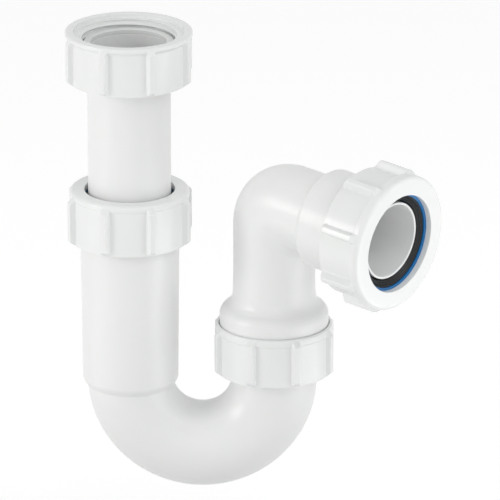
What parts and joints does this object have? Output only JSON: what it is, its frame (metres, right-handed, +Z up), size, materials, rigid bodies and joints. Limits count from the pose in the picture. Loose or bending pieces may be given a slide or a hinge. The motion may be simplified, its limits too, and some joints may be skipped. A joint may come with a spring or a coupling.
{
  "type": "tubular swivel p-trap",
  "caption": "Swivel P-trap for a basin: telescopic inlet tube, U-shaped water trap and a swivelling elbow outlet, joined by ribbed compression nuts.",
  "frame": {"origin": "centre of the mouth of the inlet nut's thread", "axes": "+Z up the inlet leg, +X towards the outlet leg"},
  "size_m": [0.1561, 0.0899, 0.1999],
  "materials": {
    "white_plastic": "satin gloss",
    "washer_plastic": "satin",
    "blue_plastic": "satin",
    "black_rubber": "matt"
  },
  "bodies": {
    "inlet_nut": {"inlet_nut": "white_plastic"},
    "inlet_washer": {"inlet_washer": "washer_plastic"},
    "inlet_tube": {"inlet_tube": "white_plastic"},
    "body_seal": {"body_seal": "black_rubber"},
    "trap_body": {"trap_body": "white_plastic"},
    "body_slip_ring": {"body_slip_ring": "blue_plastic"},
    "body_nut": {"body_nut": "white_plastic"},
    "swivel_washer": {"swivel_washer": "black_rubber"},
    "swivel_nut": {"swivel_nut": "white_plastic"},
    "outlet_elbow": {"outlet_elbow": "white_plastic", "outlet_seal": "black_rubber"},
    "outlet_slip_ring": {"outlet_slip_ring": "blue_plastic"},
    "outlet_nut": {"outlet_nut": "white_plastic"}
  },
  "joints": [
    {"name": "inlet_slide", "type": "slide", "parent": "inlet_nut", "child": "inlet_washer", "axis": [0, 0, 1], "range_m": [-0.0089, 0]},
    {"name": "inlet_turn", "type": "hinge", "parent": "inlet_washer", "child": "inlet_tube", "pos_m": [0, 0, 0], "axis": [0, 0, 1], "continuous": true},
    {"name": "telescope", "type": "slide", "parent": "inlet_tube", "child": "body_seal", "axis": [0, 0, 1], "range_m": [-0.025, 0.036]},
    {"name": "body_turn", "type": "hinge", "parent": "body_seal", "child": "trap_body", "pos_m": [0, 0, 0], "axis": [0, 0, 1], "continuous": true},
    {"name": "body_nut_travel", "type": "slide", "parent": "trap_body", "child": "body_slip_ring", "axis": [0, 0, 1], "range_m": [0, 0.0105]},
    {"name": "body_nut_turn", "type": "hinge", "parent": "body_slip_ring", "child": "body_nut", "pos_m": [0, 0, 0], "axis": [0, 0, 1], "range_deg": [0, 1261]},
    {"name": "swivel", "type": "hinge", "parent": "trap_body", "child": "swivel_washer", "pos_m": [0.0602, 0, 0], "axis": [0, 0, 1], "range_deg": [-78, 154]},
    {"name": "swivel_nut_turn", "type": "hinge", "parent": "swivel_washer", "child": "swivel_nut", "pos_m": [0.0602, 0, 0], "axis": [0, 0, -1], "range_deg": [0, 1441]},
    {"name": "elbow_lift", "type": "slide", "parent": "swivel_washer", "child": "outlet_elbow", "axis": [0, 0, 1], "range_m": [0, 0.00924]},
    {"name": "outlet_nut_travel", "type": "slide", "parent": "outlet_elbow", "child": "outlet_slip_ring", "axis": [0.7805, -0.6208, -0.0732], "range_m": [0, 0.0105]},
    {"name": "outlet_nut_turn", "type": "hinge", "parent": "outlet_slip_ring", "child": "outlet_nut", "pos_m": [0.0602, 0, -0.0712], "axis": [0.7805, -0.6208, -0.0732], "range_deg": [0, 1261]}
  ],
  "couplings": [
    {"joint": "body_nut_turn", "follows": "body_nut_travel", "rad_per_m": 2094.4},
    {"joint": "swivel_nut_turn", "follows": "elbow_lift", "rad_per_m": 2721.2},
    {"joint": "outlet_nut_turn", "follows": "outlet_nut_travel", "rad_per_m": 2094.4}
  ]
}
